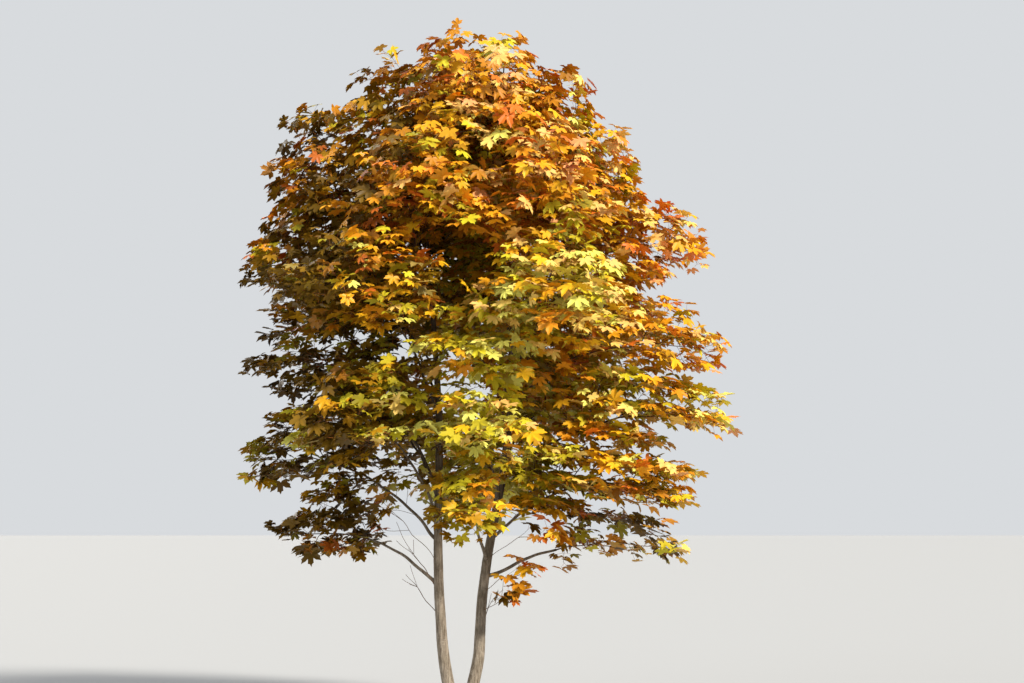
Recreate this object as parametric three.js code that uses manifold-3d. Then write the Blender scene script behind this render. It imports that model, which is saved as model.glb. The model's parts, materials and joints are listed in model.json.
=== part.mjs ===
// A young maple in autumn leaf: two stems from one root crown, their boughs, and masses of foliage.
// Lengths are millimetres. The ground is z = 0, +X is the sunny side and +Y is the back of the tree.

import * as THREE from 'three';
import { mergeVertices } from 'three/addons/utils/BufferGeometryUtils.js';
import { ImprovedNoise } from 'three/addons/math/ImprovedNoise.js';
import Module from 'manifold-3d';

const wasm = await Module();
wasm.setup();

// Gap between neighbours, the distance at which vertices are one, a limit on how far a sharp edge
// moves outward, and the halvings that find a height on a curve
const GAP = 0.3;
const WELD = 0.001;
const LEAST_SLANT = 0.2;
const BISECTIONS = 24;

// Stems: the thickness of each one low down and at its tip, and the power of its taper
const STEM_RADIUS = 56;
const STEM_TIP_RADIUS = 5;
const STEM_TAPER = 1.25;
const STEM_SIDES = 8;
const STEM_STEPS = 14;

// Root crown: where the stems stand on it, and how the flare widens to the ground
const FOOT_HEIGHT = 230;
const FLARE_RADIUS = 62;
const FLARE_HEIGHT = 75;
const ROOT_LOBES = 5;
const ROOT_LOBE_DEPTH = 0.3;
const FOOT_SIDES = 12;
const FOOT_STEPS = 4;
const BELOW_GROUND = 60;
const SOIL_SIDE = 600;

// Boughs: thickness against the stem where they leave it, and the way one rises steeply, then levels out
const BOUGH_SHARE = 0.42;
const BOUGH_LEAST_RADIUS = 10;
const BOUGH_TIP_RADIUS = 5;
const BOUGH_BEND_AT = 0.38;
const BOUGH_BEND_RISE = 0.95;
const BOUGH_SIDES = 5;
const BOUGH_STEPS = 5;

// Foliage: the middle of the crown, and how uneven, flat below and drooping at the rim each mass is.
// Plain masses are the thin ones and those that others hide.
const CROWN_MIDDLE = new THREE.Vector2(150, 0);
const LOBE_DEPTH = 0.34;
const LOBE_SCALE = 1.5;
const RAGGED_DEPTH = 0.2;
const RAGGED_SCALE = 3.4;
const UNDERSIDE = 0.78;
const DROOP = 0.36;
const FULL_DETAIL = 2;
const PLAIN_DETAIL = 1;
const THIN_HALF = 220;
const LEVEL_RIM = 0.5;
const SEED_STEP = 7.3;

// Each stem passes through these places on its way up from the ground.
const STEMS = {
  left_stem: [
    [-30, 0, 0], [-108, -10, 320], [-150, -30, 700], [-180, -60, 1450], [-168, -90, 2400],
    [-222, -40, 3300], [-270, 0, 4100], [-245, 30, 4800], [-185, 60, 5560],
  ],
  right_stem: [
    [42, 0, 0], [130, 20, 310], [174, 40, 620], [180, 60, 960], [250, 90, 1450], [365, 90, 2050],
    [432, 70, 2720], [440, 40, 3060], [375, -20, 3500], [305, -60, 4050], [320, -40, 4750], [380, 0, 5640],
  ],
};

// The right stem's outer limb leaves it at a fork and passes through these places.
const LIMB_START = 3000;
const LIMB_RADIUS = 17;
const LIMB_ROUTE = [[560, 30, 3250], [710, 10, 3560], [920, 0, 3990], [1140, -10, 4450]];

// Foliage masses: the middle of each one, and its half sizes outward, across and upward
const MASSES = {
  top_crest: { at: [340, 0, 5330], half: [490, 460, 380] },
  top_tip: { at: [-90, 40, 5540], half: [260, 240, 260], plain: true },
  top_left: { at: [-610, -60, 5100], half: [400, 440, 400] },
  top_right: { at: [820, 80, 4980], half: [430, 470, 440] },
  top_back: { at: [200, 800, 5040], half: [480, 660, 470] },
  top_front: { at: [90, -700, 4960], half: [460, 640, 440] },
  upper_core: { at: [60, 60, 4500], half: [560, 600, 480], plain: true },
  shoulder_right: { at: [1170, 20, 4400], half: [410, 510, 480] },
  shoulder_left: { at: [-1190, 20, 4560], half: [460, 570, 490] },
  upper_front: { at: [-400, -1030, 4270], half: [500, 640, 470] },
  upper_front_right: { at: [760, -1000, 4220], half: [500, 600, 460] },
  upper_back: { at: [-400, 1150, 4400], half: [520, 700, 500] },
  upper_back_right: { at: [850, 1060, 4330], half: [520, 620, 490] },
  middle_core: { at: [120, 60, 3640], half: [620, 620, 440], plain: true },
  right_tip: { at: [1700, 60, 3900], half: [420, 470, 370] },
  middle_left: { at: [-1330, -40, 3800], half: [520, 630, 480] },
  middle_left_back: { at: [-1060, 1120, 3660], half: [580, 600, 430] },
  middle_left_front: { at: [-900, -1170, 3480], half: [580, 620, 420] },
  middle_front_right: { at: [860, -1280, 3400], half: [580, 620, 410] },
  middle_back: { at: [120, 1480, 3500], half: [540, 640, 420] },
  middle_right_back: { at: [1240, 1120, 3420], half: [580, 600, 430] },
  right_arm: { at: [1520, -90, 3130], half: [700, 570, 360] },
  left_arm: { at: [-1310, 60, 2990], half: [560, 570, 360] },
  spray_front_high: { at: [150, -1260, 2930], half: [430, 450, 150] },
  right_tier: { at: [1640, -200, 2500], half: [770, 520, 250] },
  low_back_right: { at: [860, 1290, 2660], half: [570, 620, 340] },
  low_back_left: { at: [-740, 1260, 2540], half: [560, 600, 340] },
  low_left_front: { at: [-840, -930, 2430], half: [570, 520, 310] },
  spray_front: { at: [180, -1240, 2340], half: [450, 440, 180] },
  low_left: { at: [-1350, 20, 2150], half: [540, 540, 310] },
  low_back: { at: [120, 1180, 1960], half: [530, 570, 290] },
  low_right_tier: { at: [1210, -300, 1940], half: [850, 530, 240] },
  spray_front_low: { at: [70, -900, 1690], half: [370, 310, 210] },
  lowest_left: { at: [-1110, 60, 1540], half: [490, 430, 190] },
  lowest_right: { at: [1380, 160, 1460], half: [570, 450, 170] },
};

// Boughs: the mass that each one carries, the limb it leaves, and the height where it leaves
const BOUGHS = [
  { to: 'lowest_left', from: 'left_stem', height: 1080 },
  { to: 'low_left', from: 'left_stem', height: 1440 },
  { to: 'low_left_front', from: 'left_stem', height: 1660 },
  { to: 'left_arm', from: 'left_stem', height: 1880 },
  { to: 'low_back_left', from: 'left_stem', height: 1790 },
  { to: 'middle_left_front', from: 'left_stem', height: 2480 },
  { to: 'middle_left_back', from: 'left_stem', height: 2620 },
  { to: 'middle_left', from: 'left_stem', height: 2800 },
  { to: 'lowest_right', from: 'right_stem', height: 1130 },
  { to: 'spray_front_low', from: 'right_stem', height: 1270 },
  { to: 'low_right_tier', from: 'right_stem', height: 1450 },
  { to: 'low_back', from: 'right_stem', height: 1560 },
  { to: 'spray_front', from: 'right_stem', height: 1770 },
  { to: 'right_tier', from: 'right_stem', height: 1960 },
  { to: 'low_back_right', from: 'right_stem', height: 2080 },
  { to: 'spray_front_high', from: 'right_stem', height: 2290 },
  { to: 'middle_back', from: 'right_stem', height: 2420 },
  { to: 'right_arm', from: 'right_stem', height: 2560 },
  { to: 'middle_front_right', from: 'right_stem', height: 2680 },
  { to: 'middle_right_back', from: 'right_stem', height: 2800 },
];

// Materials: grey-brown bark, and autumn foliage from yellow-green low down to red-orange at the top
const BARK = new THREE.MeshStandardMaterial({ color: 0x6f6252, roughness: 0.9, metalness: 0 });
const LOW_LEAVES = new THREE.Color(0xb9b43c);
const HIGH_LEAVES = new THREE.Color(0xc8641c);
const LEAF_ROUGHNESS = 0.75;
const LOW_LEVEL = 1500;
const HIGH_LEVEL = 5000;

const noise = new ImprovedNoise();
const UP = new THREE.Vector3(0, 0, 1);

function vectors(places) {
  return places.map((place) => new THREE.Vector3(...place));
}

// A closed geometry as a solid
function solidOf(geometry) {
  const bare = geometry.clone();
  bare.deleteAttribute('normal');
  bare.deleteAttribute('uv');
  const merged = mergeVertices(bare, WELD);
  return new wasm.Manifold(new wasm.Mesh({
    numProp: 3,
    vertProperties: new Float32Array(merged.attributes.position.array),
    triVerts: new Uint32Array(merged.index.array),
  }));
}

// A solid as an indexed geometry
function geometryOf(solid) {
  const mesh = solid.getMesh();
  const geometry = new THREE.BufferGeometry();
  geometry.setAttribute('position', new THREE.BufferAttribute(new Float32Array(mesh.vertProperties), 3));
  geometry.setIndex(new THREE.BufferAttribute(new Uint32Array(mesh.triVerts), 1));
  return geometry;
}

// The same solid with every face moved outward by a distance, to cut a neighbour clear of it
function grown(solid, distance) {
  const geometry = geometryOf(solid);
  const { position } = geometry.attributes;
  const facesAt = Array.from({ length: position.count }, () => []);
  const corners = geometry.index.array;
  const face = new THREE.Triangle();
  for (let i = 0; i < corners.length; i += 3) {
    face.setFromAttributeAndIndices(position, corners[i], corners[i + 1], corners[i + 2]);
    const normal = face.getNormal(new THREE.Vector3());
    [0, 1, 2].forEach((corner) => facesAt[corners[i + corner]].push(normal));
  }
  facesAt.forEach((normals, i) => {
    const way = new THREE.Vector3();
    normals.forEach((normal) => way.add(normal));
    way.normalize();
    const least = Math.min(...normals.map((normal) => way.dot(normal)));
    const step = distance / Math.max(least, LEAST_SLANT);
    position.setXYZ(
      i,
      position.getX(i) + step * way.x,
      position.getY(i) + step * way.y,
      position.getZ(i) + step * way.z,
    );
  });
  return solidOf(geometry);
}

function boxesMeet(a, b) {
  const first = a.boundingBox();
  const second = b.boundingBox();
  return [0, 1, 2].every((i) => first.min[i] <= second.max[i] && second.min[i] <= first.max[i]);
}

// What is left of a solid clear of its neighbours: the one piece that measure rates highest
function clearOf(solid, neighbours, measure) {
  let left = solid;
  for (const neighbour of neighbours) {
    if (boxesMeet(left, neighbour)) {
      left = left.subtract(neighbour);
    }
  }
  const pieces = left.decompose();
  return pieces.reduce((best, piece) => (measure(piece) > measure(best) ? piece : best));
}

// A closed tapering tube along a curve, its surface moved in or out by lobes where they are given
function tube(curve, radiusAt, sides, steps, lobesAt = () => 1) {
  const geometry = new THREE.CylinderGeometry(1, 1, 1, sides, steps);
  const frames = curve.computeFrenetFrames(steps);
  const { position } = geometry.attributes;
  for (let i = 0; i < position.count; i++) {
    const share = position.getY(i) + 0.5;
    const step = Math.round(share * steps);
    const angle = Math.atan2(position.getZ(i), position.getX(i));
    const radius = radiusAt(share) * lobesAt(share, angle);
    const place = curve.getPointAt(share)
      .addScaledVector(frames.binormals[step], radius * position.getX(i))
      .addScaledVector(frames.normals[step], radius * position.getZ(i));
    position.setXYZ(i, place.x, place.y, place.z);
  }
  return solidOf(geometry);
}

// The place on a curve at a height, as its share of the curve's length
function shareAtHeight(curve, height) {
  let low = 0;
  let high = 1;
  for (let i = 0; i < BISECTIONS; i++) {
    const middle = (low + high) / 2;
    if (curve.getPointAt(middle).z < height) {
      low = middle;
    } else {
      high = middle;
    }
  }
  return low;
}

// Part of a curve between two shares of its length
function stretch(curve, from, to, points) {
  const places = [];
  for (let i = 0; i <= points; i++) {
    places.push(curve.getPointAt(from + (to - from) * (i / points)));
  }
  return new THREE.CatmullRomCurve3(places);
}

function stemRadius(share) {
  return STEM_TIP_RADIUS + (STEM_RADIUS - STEM_TIP_RADIUS) * (1 - share) ** STEM_TAPER;
}

// One stem's foot: the flare that widens to the ground in lobes
function foot(curve) {
  const top = shareAtHeight(curve, FOOT_HEIGHT);
  const route = stretch(curve, 0, top, FOOT_STEPS);
  const places = route.getSpacedPoints(FOOT_STEPS);
  const below = places[0].clone();
  below.z -= BELOW_GROUND;
  const sunk = new THREE.CatmullRomCurve3([below, ...places]);
  const length = sunk.getLength();
  const heightAt = (share) => Math.max(0, share * length - BELOW_GROUND);
  const spread = (height) => Math.exp(-height / FLARE_HEIGHT) - Math.exp(-FOOT_HEIGHT / FLARE_HEIGHT);
  const flareAt = (share) => Math.max(0, spread(heightAt(share)));
  const radiusAt = (share) => stemRadius(top) + FLARE_RADIUS * flareAt(share);
  const lobesAt = (share, angle) => 1 + ROOT_LOBE_DEPTH * flareAt(share) * Math.cos(ROOT_LOBES * angle);
  return tube(sunk, radiusAt, FOOT_SIDES, FOOT_STEPS + 1, lobesAt);
}

// The root crown: both feet joined, with a flat cut at the ground
function rootCrown(curves) {
  const joined = curves.map(foot).reduce((sum, next) => sum.add(next));
  const soil = new THREE.BoxGeometry(SOIL_SIDE, SOIL_SIDE, SOIL_SIDE).translate(0, 0, -SOIL_SIDE / 2);
  return joined.subtract(solidOf(soil));
}

// One uneven mass: flatter below, drooping at the rim and turned outward from the crown's middle.
// A clearance makes it larger all round, to cut a neighbour clear of it.
function foliage({ at, half, plain = half[2] < THIN_HALF }, seed, clearance = 0) {
  const detail = plain ? PLAIN_DETAIL : FULL_DETAIL;
  const geometry = new THREE.IcosahedronGeometry(1, detail);
  const turn = Math.atan2(at[1] - CROWN_MIDDLE.y, at[0] - CROWN_MIDDLE.x);
  const { position } = geometry.attributes;
  const way = new THREE.Vector3();
  const swell = (scale) => {
    const spot = way.clone().multiplyScalar(scale).addScalar(seed);
    return noise.noise(spot.x, spot.y, spot.z);
  };
  for (let i = 0; i < position.count; i++) {
    way.fromBufferAttribute(position, i).normalize();
    const uneven = 1 + LOBE_DEPTH * swell(LOBE_SCALE) + RAGGED_DEPTH * swell(RAGGED_SCALE);
    way.multiplyScalar(uneven * (1 + clearance / Math.min(...half)));
    const rim = way.x * way.x + way.y * way.y;
    way.z = way.z * (way.z < 0 ? UNDERSIDE : 1) - DROOP * (rim - LEVEL_RIM);
    way.multiply(new THREE.Vector3(...half)).applyAxisAngle(UP, turn).add(new THREE.Vector3(...at));
    position.setXYZ(i, way.x, way.y, way.z);
  }
  return solidOf(geometry);
}

// A bough's way from its limb's axis to the middle of the mass that it carries
function boughRoute(start, end) {
  const bend = start.clone().lerp(end, BOUGH_BEND_AT);
  bend.z = start.z + BOUGH_BEND_RISE * (end.z - start.z);
  return new THREE.QuadraticBezierCurve3(start, bend, end);
}

// Rates a piece by how near it lies to where its limb starts
function nearestTo(start) {
  return (piece) => {
    const { min, max } = piece.boundingBox();
    return -new THREE.Box3(new THREE.Vector3(...min), new THREE.Vector3(...max)).distanceToPoint(start);
  };
}

function leafColour(height) {
  const share = THREE.MathUtils.clamp((height - LOW_LEVEL) / (HIGH_LEVEL - LOW_LEVEL), 0, 1);
  return LOW_LEAVES.clone().lerp(HIGH_LEAVES, share);
}

const tree = new THREE.Group();

function addNode(name, solid, material) {
  const mesh = new THREE.Mesh(geometryOf(solid), material);
  mesh.name = name;
  tree.add(mesh);
}

// Root crown and stems
const curves = {};
for (const [name, places] of Object.entries(STEMS)) {
  curves[name] = new THREE.CatmullRomCurve3(vectors(places));
}
const crownOfRoots = rootCrown(Object.values(curves));
addNode('root_crown', crownOfRoots, BARK);
const wood = [grown(crownOfRoots, GAP)];
for (const [name, curve] of Object.entries(curves)) {
  const start = shareAtHeight(curve, FOOT_HEIGHT / 2);
  const route = stretch(curve, start, 1, STEM_STEPS);
  const whole = tube(route, (share) => stemRadius(start + (1 - start) * share), STEM_SIDES, STEM_STEPS);
  addNode(name, clearOf(whole, wood, (piece) => piece.volume()), BARK);
  wood.push(grown(whole, GAP));
}

// The right stem's outer limb
const forkShare = shareAtHeight(curves.right_stem, LIMB_START);
const fork = curves.right_stem.getPointAt(forkShare);
const limbCurve = new THREE.CatmullRomCurve3([fork, ...vectors(LIMB_ROUTE)]);
const limbRadius = (share) => THREE.MathUtils.lerp(LIMB_RADIUS, STEM_TIP_RADIUS, share);
const limb = tube(limbCurve, limbRadius, BOUGH_SIDES, BOUGH_STEPS);
addNode('right_limb', clearOf(limb, wood, (piece) => piece.volume()), BARK);
wood.push(grown(limb, GAP));

// Foliage masses, each cut clear of the wood and of the masses before it
const masses = [];
let seed = 0;
for (const [name, mass] of Object.entries(MASSES)) {
  seed += SEED_STEP;
  const solid = clearOf(foliage(mass, seed), [...wood, ...masses], (piece) => piece.volume());
  const colour = leafColour(mass.at[2]);
  const leaves = new THREE.MeshStandardMaterial({ color: colour, roughness: LEAF_ROUGHNESS, metalness: 0 });
  addNode(`foliage_${name}`, solid, leaves);
  masses.push(foliage(mass, seed, GAP));
}

// Boughs, each cut where it leaves its stem and where it enters the foliage
for (const { to, from, height } of BOUGHS) {
  const share = shareAtHeight(curves[from], height);
  const start = curves[from].getPointAt(share);
  const curve = boughRoute(start, new THREE.Vector3(...MASSES[to].at));
  const thick = Math.max(BOUGH_LEAST_RADIUS, BOUGH_SHARE * stemRadius(share));
  const radiusAt = (along) => THREE.MathUtils.lerp(thick, BOUGH_TIP_RADIUS, along);
  const whole = tube(curve, radiusAt, BOUGH_SIDES, BOUGH_STEPS);
  const bough = clearOf(whole, [...wood, ...masses], nearestTo(start));
  addNode(`bough_${to}`, bough, BARK);
  wood.push(grown(bough, GAP));
}

export default tree;
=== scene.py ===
"""The looks of the autumn maple: bark, boughs, twigs, leaf stalks and leaves around the packed frame.

Lengths are metres. The ground is z = 0, +X is the sunny side and +Y is the back of the tree.
"""

import functools
import json
import math

import bpy
import numpy as np
from bpy.props import FloatProperty, FloatVectorProperty, IntProperty, PointerProperty
from mathutils import Color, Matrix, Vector, noise

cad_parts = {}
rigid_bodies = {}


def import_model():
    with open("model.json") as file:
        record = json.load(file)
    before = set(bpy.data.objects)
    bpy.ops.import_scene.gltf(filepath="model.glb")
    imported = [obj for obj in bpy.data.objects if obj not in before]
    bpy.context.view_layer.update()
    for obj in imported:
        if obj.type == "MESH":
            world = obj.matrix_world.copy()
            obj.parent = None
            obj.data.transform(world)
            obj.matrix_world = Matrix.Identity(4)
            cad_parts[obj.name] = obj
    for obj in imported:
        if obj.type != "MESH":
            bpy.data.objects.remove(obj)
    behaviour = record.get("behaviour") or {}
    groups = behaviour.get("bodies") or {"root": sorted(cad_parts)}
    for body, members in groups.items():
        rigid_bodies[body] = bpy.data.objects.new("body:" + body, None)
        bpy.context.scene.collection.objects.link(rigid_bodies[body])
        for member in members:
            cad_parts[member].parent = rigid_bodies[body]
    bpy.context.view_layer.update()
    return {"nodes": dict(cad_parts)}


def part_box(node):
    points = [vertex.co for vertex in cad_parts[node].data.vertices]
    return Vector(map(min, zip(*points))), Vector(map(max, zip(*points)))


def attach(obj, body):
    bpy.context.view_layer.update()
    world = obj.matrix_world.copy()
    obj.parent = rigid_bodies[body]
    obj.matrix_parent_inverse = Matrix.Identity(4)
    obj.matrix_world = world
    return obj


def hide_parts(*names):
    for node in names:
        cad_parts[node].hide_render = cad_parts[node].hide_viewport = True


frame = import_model()

bl_info = {
    "name": "Autumn maple",
    "version": (1, 0, 0),
    "blender": (4, 5, 0),
    "location": "View3D > Sidebar > Maple",
    "description": "Grows the bark, boughs, twigs and leaves of a young maple on its solid frame",
    "category": "Add Mesh",
}

UP = np.array((0.0, 0.0, 1.0))
LEVEL = np.array((1.0, 1.0, 0.0))
TINY = 1e-9
GOLDEN_TURN = math.radians(137.5)

# The crown's own upright axis, which the foliage turns outward from, and the height of its heart
CROWN_AXIS = np.array((0.15, 0.0, 0.0))
CROWN_HEART = 3.3

# Limbs of the frame. Each stem stands at its own place on the ground.
STEM_FEET = {"left_stem": (-0.03, 0.0, 0.0), "right_stem": (0.042, 0.0, 0.0)}
LIMB = "right_limb"
BOUGHS = sorted(name for name in frame["nodes"] if name.startswith("bough_"))
MASSES = sorted(name for name in frame["nodes"] if name.startswith("foliage_"))

# How the limbs are measured: the gap between cuts, how far inside a limb's ends they start, the share of
# a whole section that a stem's lowest cut has, how a stem narrows at its tip, and how far back towards
# its stem a bough's foot is sought
SECTION_GAP = 0.04
SECTION_INSET = 0.015
WHOLE_SECTION = 0.95
TIP_NARROWING = 0.8
FOOT_SEARCH = 0.05

# Directions that turn the cuts and rings across a limb. Its rings take the level one where it starts out
# upright, which is where its way rises by more than the last number.
CUT_TURN = (0.3, 0.9, 0.1)
STEEP_TURN = (0.2, 0.35, 0.9)
LEVEL_TURN = (1.0, 0.0, 0.0)
UPRIGHT = 0.9

# Routes: the gap between their points, how many points they are evened out over, and how far a shoot
# keeps to the ways that it leaves and arrives by, as shares of its length
ROUTE_STEP = 0.02
SHOOT_STEP = 0.05
STEM_SMOOTHING = 9
BOUGH_SMOOTHING = 7
LEAVING_PULL = 0.36
ARRIVING_PULL = 0.34

# Small bends: how far each kind of shoot wanders from its route, and what sets the bends of one shoot
# apart from those of the next
BENDS_PER_METRE = 4.5
BEND_SHIFTS = (0.0, 31.4, 67.9)
BOUGH_WANDER = (0.028, 3.7)
LEADER_WANDER = (0.03, 5.3)
SHOOT_WANDER = (0.012, 1.9)
LOW_WANDER = (0.045, 7.3)

# Root crown: how far and how high the stems' feet widen, their lobes, where they blend and sink into the
# stems, how far below the ground they start, and how fine and smooth their skin is
FLARE_WIDTH = 0.062
FLARE_HEIGHT = 0.075
FLARE_TOP = 0.23
ROOT_LOBES = 5
ROOT_LOBE_DEPTH = 0.3
FOOT_TOP = 0.52
FOOT_BLEND = 0.12
FOOT_SINKING = 0.09
FOOT_BELOW = 0.06
FOOT_VOXEL = 0.0045
FOOT_SMOOTHING = 4
GROUND_EDGE = 0.002

# Bark relief: the size of each part of it round and along a limb, how deep it is, the radius below which
# it grows shallower, and the collar where a limb leaves its stem
SWELLS = (0.07, 0.24)
FURROWS = (0.016, 0.11)
FURROW_BENDS = (0.05, 0.07)
FINE_BARK = (0.013, 0.05)
SWELL_DEPTH = 0.0035
FURROW_DEPTH = 0.0022
FURROW_WIDTH = 0.22
SMALL_SHARE = 0.35
BARK_SHIFT = 3
FULL_BARK_RADIUS = 0.03
COLLAR_GROWTH = 0.55
COLLAR_LENGTH = 0.035

# Bark colour: its grain on the stems and boughs, how long its streaks are drawn, how its patches and flecks
# are scaled beside it, the heights between which the painted shade of the crown comes in on it, and the
# shades that it is dimmed by: that painted shade, then its darker patches
STEM_GRAIN = 84.0
BOUGH_GRAIN = 90.0
STREAK_SCALE = 0.1
PATCH_SCALE = 0.12
FLECK_SCALE = 0.9
CROWN_SHADE_START = 0.7
CROWN_SHADE_FULL = 2.1
CROWN_SHADE_ON_BARK = (0.5, 0.46, 0.41)
PATCH_SHADE = (0.62, 0.6, 0.56)
PATCH_SHARE = 0.85
WHITE, BLACK = (1, 1, 1), (0, 0, 0)

# Rings of the bark: the gap between them and the number of their corners
LOW_STEM_RINGS = (0.009, 44)
HIGH_STEM_RINGS = (0.025, 22)
LIMB_RINGS = (0.025, 16)
LOW_STEM_TOP = 2.3
FOOT_SIDES = 48
BOUGH_SIDES = 12
ROUND_END = 0.7

# Where the leafy shoots of a mass end: the fewest of them and the candidates for each, how far in from the
# crown's outside and over the gaps between masses, how they crowd outwards, and the tiers that draw them
FEWEST_SHOOTS = 6
CANDIDATES = 14
LEAF_MARGIN = 0.1
TOP_MARGIN = 0.15
TOP_RISE = (0.3, 0.9)
GAP_CROSSING = 0.27
OUTER_SIDE = (-0.35, 0.45)
LOW_CROSSING = 0.5
CROSSING_RISE = (2.0, 3.2)
LEAST_REACH = 0.35
CROWDING = 2.6
HOLLOW = 0.22
TIER_GAP = 0.23
TIER_DROOP = 0.16
TIER_SPREAD = 0.018
LOW_TIER_PULL, HIGH_TIER_PULL = 0.85, 0.25
TIER_RISE = (2.6, 4.2)
HEIGHT_GAP = 1.25

# How thickly masses are leaved: tiers below this height most, the cores and the lowest right tier least
THIN_TIER = 0.62
THIN_FULLNESS = 1.75
CORE_FULLNESS = 0.75

# Where a mass with no bough of its own starts on a stem: its leader rises at a slope, and starting off
# that slope or below the lowest fork costs it
RISING_SLOPE = 0.85
SLOPE_COST = 0.9
LOW_COST = 5
LOWEST_FORK = 2.9

# Leaders run out through a mass. In the top of the crown and its cores, shoots join the stems too: near
# the mass, above the forks, at every fourth point, and as if that far along a leader.
LEADER_REACH = 0.6
LEADER_TURN = 0.9
LEADER_DROOP = 0.15
STEM_JOIN_REACH = 0.8
STEM_JOIN_FOOT = 3.2
STEM_JOIN_STEP = 4
STEM_JOIN_RUN = 0.25

# What makes a new shoot join the wood where it does, and how it thickens with the tips that it carries
TURN_COST = 0.55
RUN_COST = 0.3
NEAR_COST = 0.5
NEAR = 0.07
PIPE_POWER = 2.35

# A new shoot's directions, as shares of those that they are mixed from, and the spread of chance in them:
# it leaves by its parent's way, its tip and up, and arrives by outward, its tip and up
SHOOT_LEAVING, LEAVING_SPREAD = (0.55, 1, 0.15), 0.12
SHOOT_ARRIVAL, ARRIVAL_SPREAD = (0.7, 0.6, 0.12), 0.2

# Side shoots on the boughs and stems: the heights between which they grow, where along the limb they
# start, the gap between them, and their least and greatest length. Below are the share of them that is
# missing, their directions, and how few and how many pairs of leaves they have.
BOUGH_SHOOTS = {"lowest": 1.5, "highest": 6.0, "first": 0.3, "gap": 0.055, "lengths": (0.14, 0.46)}
STEM_SHOOTS = {"lowest": 2.25, "highest": 5.0, "first": 0.0, "gap": 0.06, "lengths": (0.22, 0.64)}
SIDE_SHOOT_MISSING = 0.2
SIDE_SHOOT_WAY = np.array((1, 1, 0.4))
SIDE_SHOOT_RISE = 0.12
SIDE_SHOOT_LEAN = 0.45
SIDE_SHOOT_START = 0.5
SIDE_SHOOT_PAIRS = (2, 3)

# Bare twigs and single shoots on the open lower stems: the limb, the height there, the tip and the pairs
# of leaves, and then the twigs on each
LOW_SHOOTS = (
    ("right_stem", 0.86, (0.44, -0.22, 1.02), 3),
    ("right_stem", 1.02, (0.62, -0.34, 1.24), 2),
    ("right_stem", 1.3, (0.82, -0.45, 1.52), 3),
    ("left_stem", 1.0, (-0.52, -0.14, 1.62), 0),
    ("left_stem", 0.8, (-0.46, 0.24, 1.18), 0),
    ("left_stem", 1.25, (-0.62, -0.3, 1.78), 1),
    ("right_stem", 0.7, (0.36, 0.3, 1.05), 0),
)
LOW_SHOOT_RISE = 0.4
LOW_SHOOT_SPREAD = 0.15
LOW_TWIGS = 3
LOW_TWIG_PLACES = (0.35, 0.8)
LOW_TWIG_LENGTHS = (0.1, 0.22)
LOW_TWIG_AHEAD = 1.3
LOW_TWIG_SPREAD = 0.55
LOW_TWIG_RISE = 0.3

# Twigs have more sides from these radii on
TWIG_SIDES = ((0.006, 7), (0.0035, 5), (0.0, 4))

# Sprays: leaves in pairs back from a shoot's tip, each pair a quarter turn from the last, over no more
# than this length or this share of the shoot. The first line sets their chances apart from the growth's.
LEAF_DRAWS = (7, 7)
PAIRS = 4
PAIR_GAP = 0.045
LEAFY_LENGTH = 0.2
LEAFY_SHARE = 0.75
LEAF_MISSING = 0.08
NUDGE = 1e-6

# Stalks: how far each stands over, aside, ahead and up, the spread of chance in that, their lengths as
# shares of the usual one, which grow from pair to pair, and how their ends sink into the leaf and narrow
STALK_OVER = 0.45
STALK_ASIDE = 0.35
TIP_STALK_AHEAD, STALK_AHEAD = 0.75, 0.45
STALK_RISE = 0.3
STALK_SPREAD = 0.16
STALK_LENGTHS = (0.6, 1.35)
TIP_STALK_LENGTH, STALK_GROWTH = 0.8, 0.12
STALK_SINK = 0.002
STALK_NARROWING = 0.7

# Leaves: how they turn outward, how they hang (the mean angle and its spread in degrees, and how much
# more high in the crown), how they lean, how their widths vary, and how they fold, droop and curl
LEAF_OUTWARD = 0.35
LEAF_TURN_SPREAD = 0.35
LEAF_HANG = (8, 20)
HIGH_LEAF_HANG = 14
HANG_RISE = (2.8, 4.8)
LEAF_LEAN = 0.25
LEAF_LEAN_SPREAD = 0.31
WIDTH_SPREAD = 0.21
WIDTH_LIMITS = (0.5, 1.5)
FOLDS = (0.05, 0.28)
DROOPS = (0.04, 0.3)
CURL_SPREAD = 0.16
FOLD_RISE = 2.2

# One leaf's outline round its stalk's end: degrees from the middle lobe, and the reach there. It holds
# for both halves. Below are the angles of its lobes, and its width where the middle lobe is one long.
LEAF_OUTLINE = (
    (6.0, 0.84), (14.5, 0.86), (17.0, 0.67), (24.0, 0.5), (31.0, 0.75), (39.5, 0.81),
    (48.0, 0.98), (55.0, 0.8), (63.0, 0.77), (68.0, 0.58), (77.0, 0.47), (91.0, 0.61),
    (104.0, 0.73), (114.0, 0.53), (131.0, 0.47), (152.0, 0.2),
)
LEAF_LOBES = (0.0, 48.0, -48.0, 105.0, -105.0)
LEAF_WIDTH_UNITS = 1.46

# Leaf colours: the kinds from green to red, then olive for the shaded side, partly the leaves' own colour and
# partly painted shade; the tints of each kind from light to deep, partly painted sunlight and shade and
# partly uneven tone, with the palest as a painted highlight on sunlit leaves, as shares of its brightness and
# of its strength of colour and a turn of its hue towards green; and the brightest that a tint may be
KINDS = ("yellow_green", "gold", "orange", "red_orange", "olive")
OLIVE = KINDS.index("olive")
TINTS = ((1.38, 0.85, 0.022), (1.18, 1.0, 0.008), (0.95, 1.0, 0.0), (0.7, 1.0, 0.0), (0.48, 1.0, 0.0))
BRIGHTEST = 0.8

# How warm each kind is, from green to red, the warmths from which a spray is of the next kind, how many
# of its leaves are of another kind, and how their tints step from the spray's own
WARMTHS = {"yellow_green": 0.12, "gold": 0.38, "orange": 0.6, "red_orange": 0.8, "olive": 0.46}
KIND_STEPS = (0.27, 0.54, 0.92)
OTHER_KIND = 0.42
TINT_STEPS = (-1, 0, 0, 1)

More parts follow.
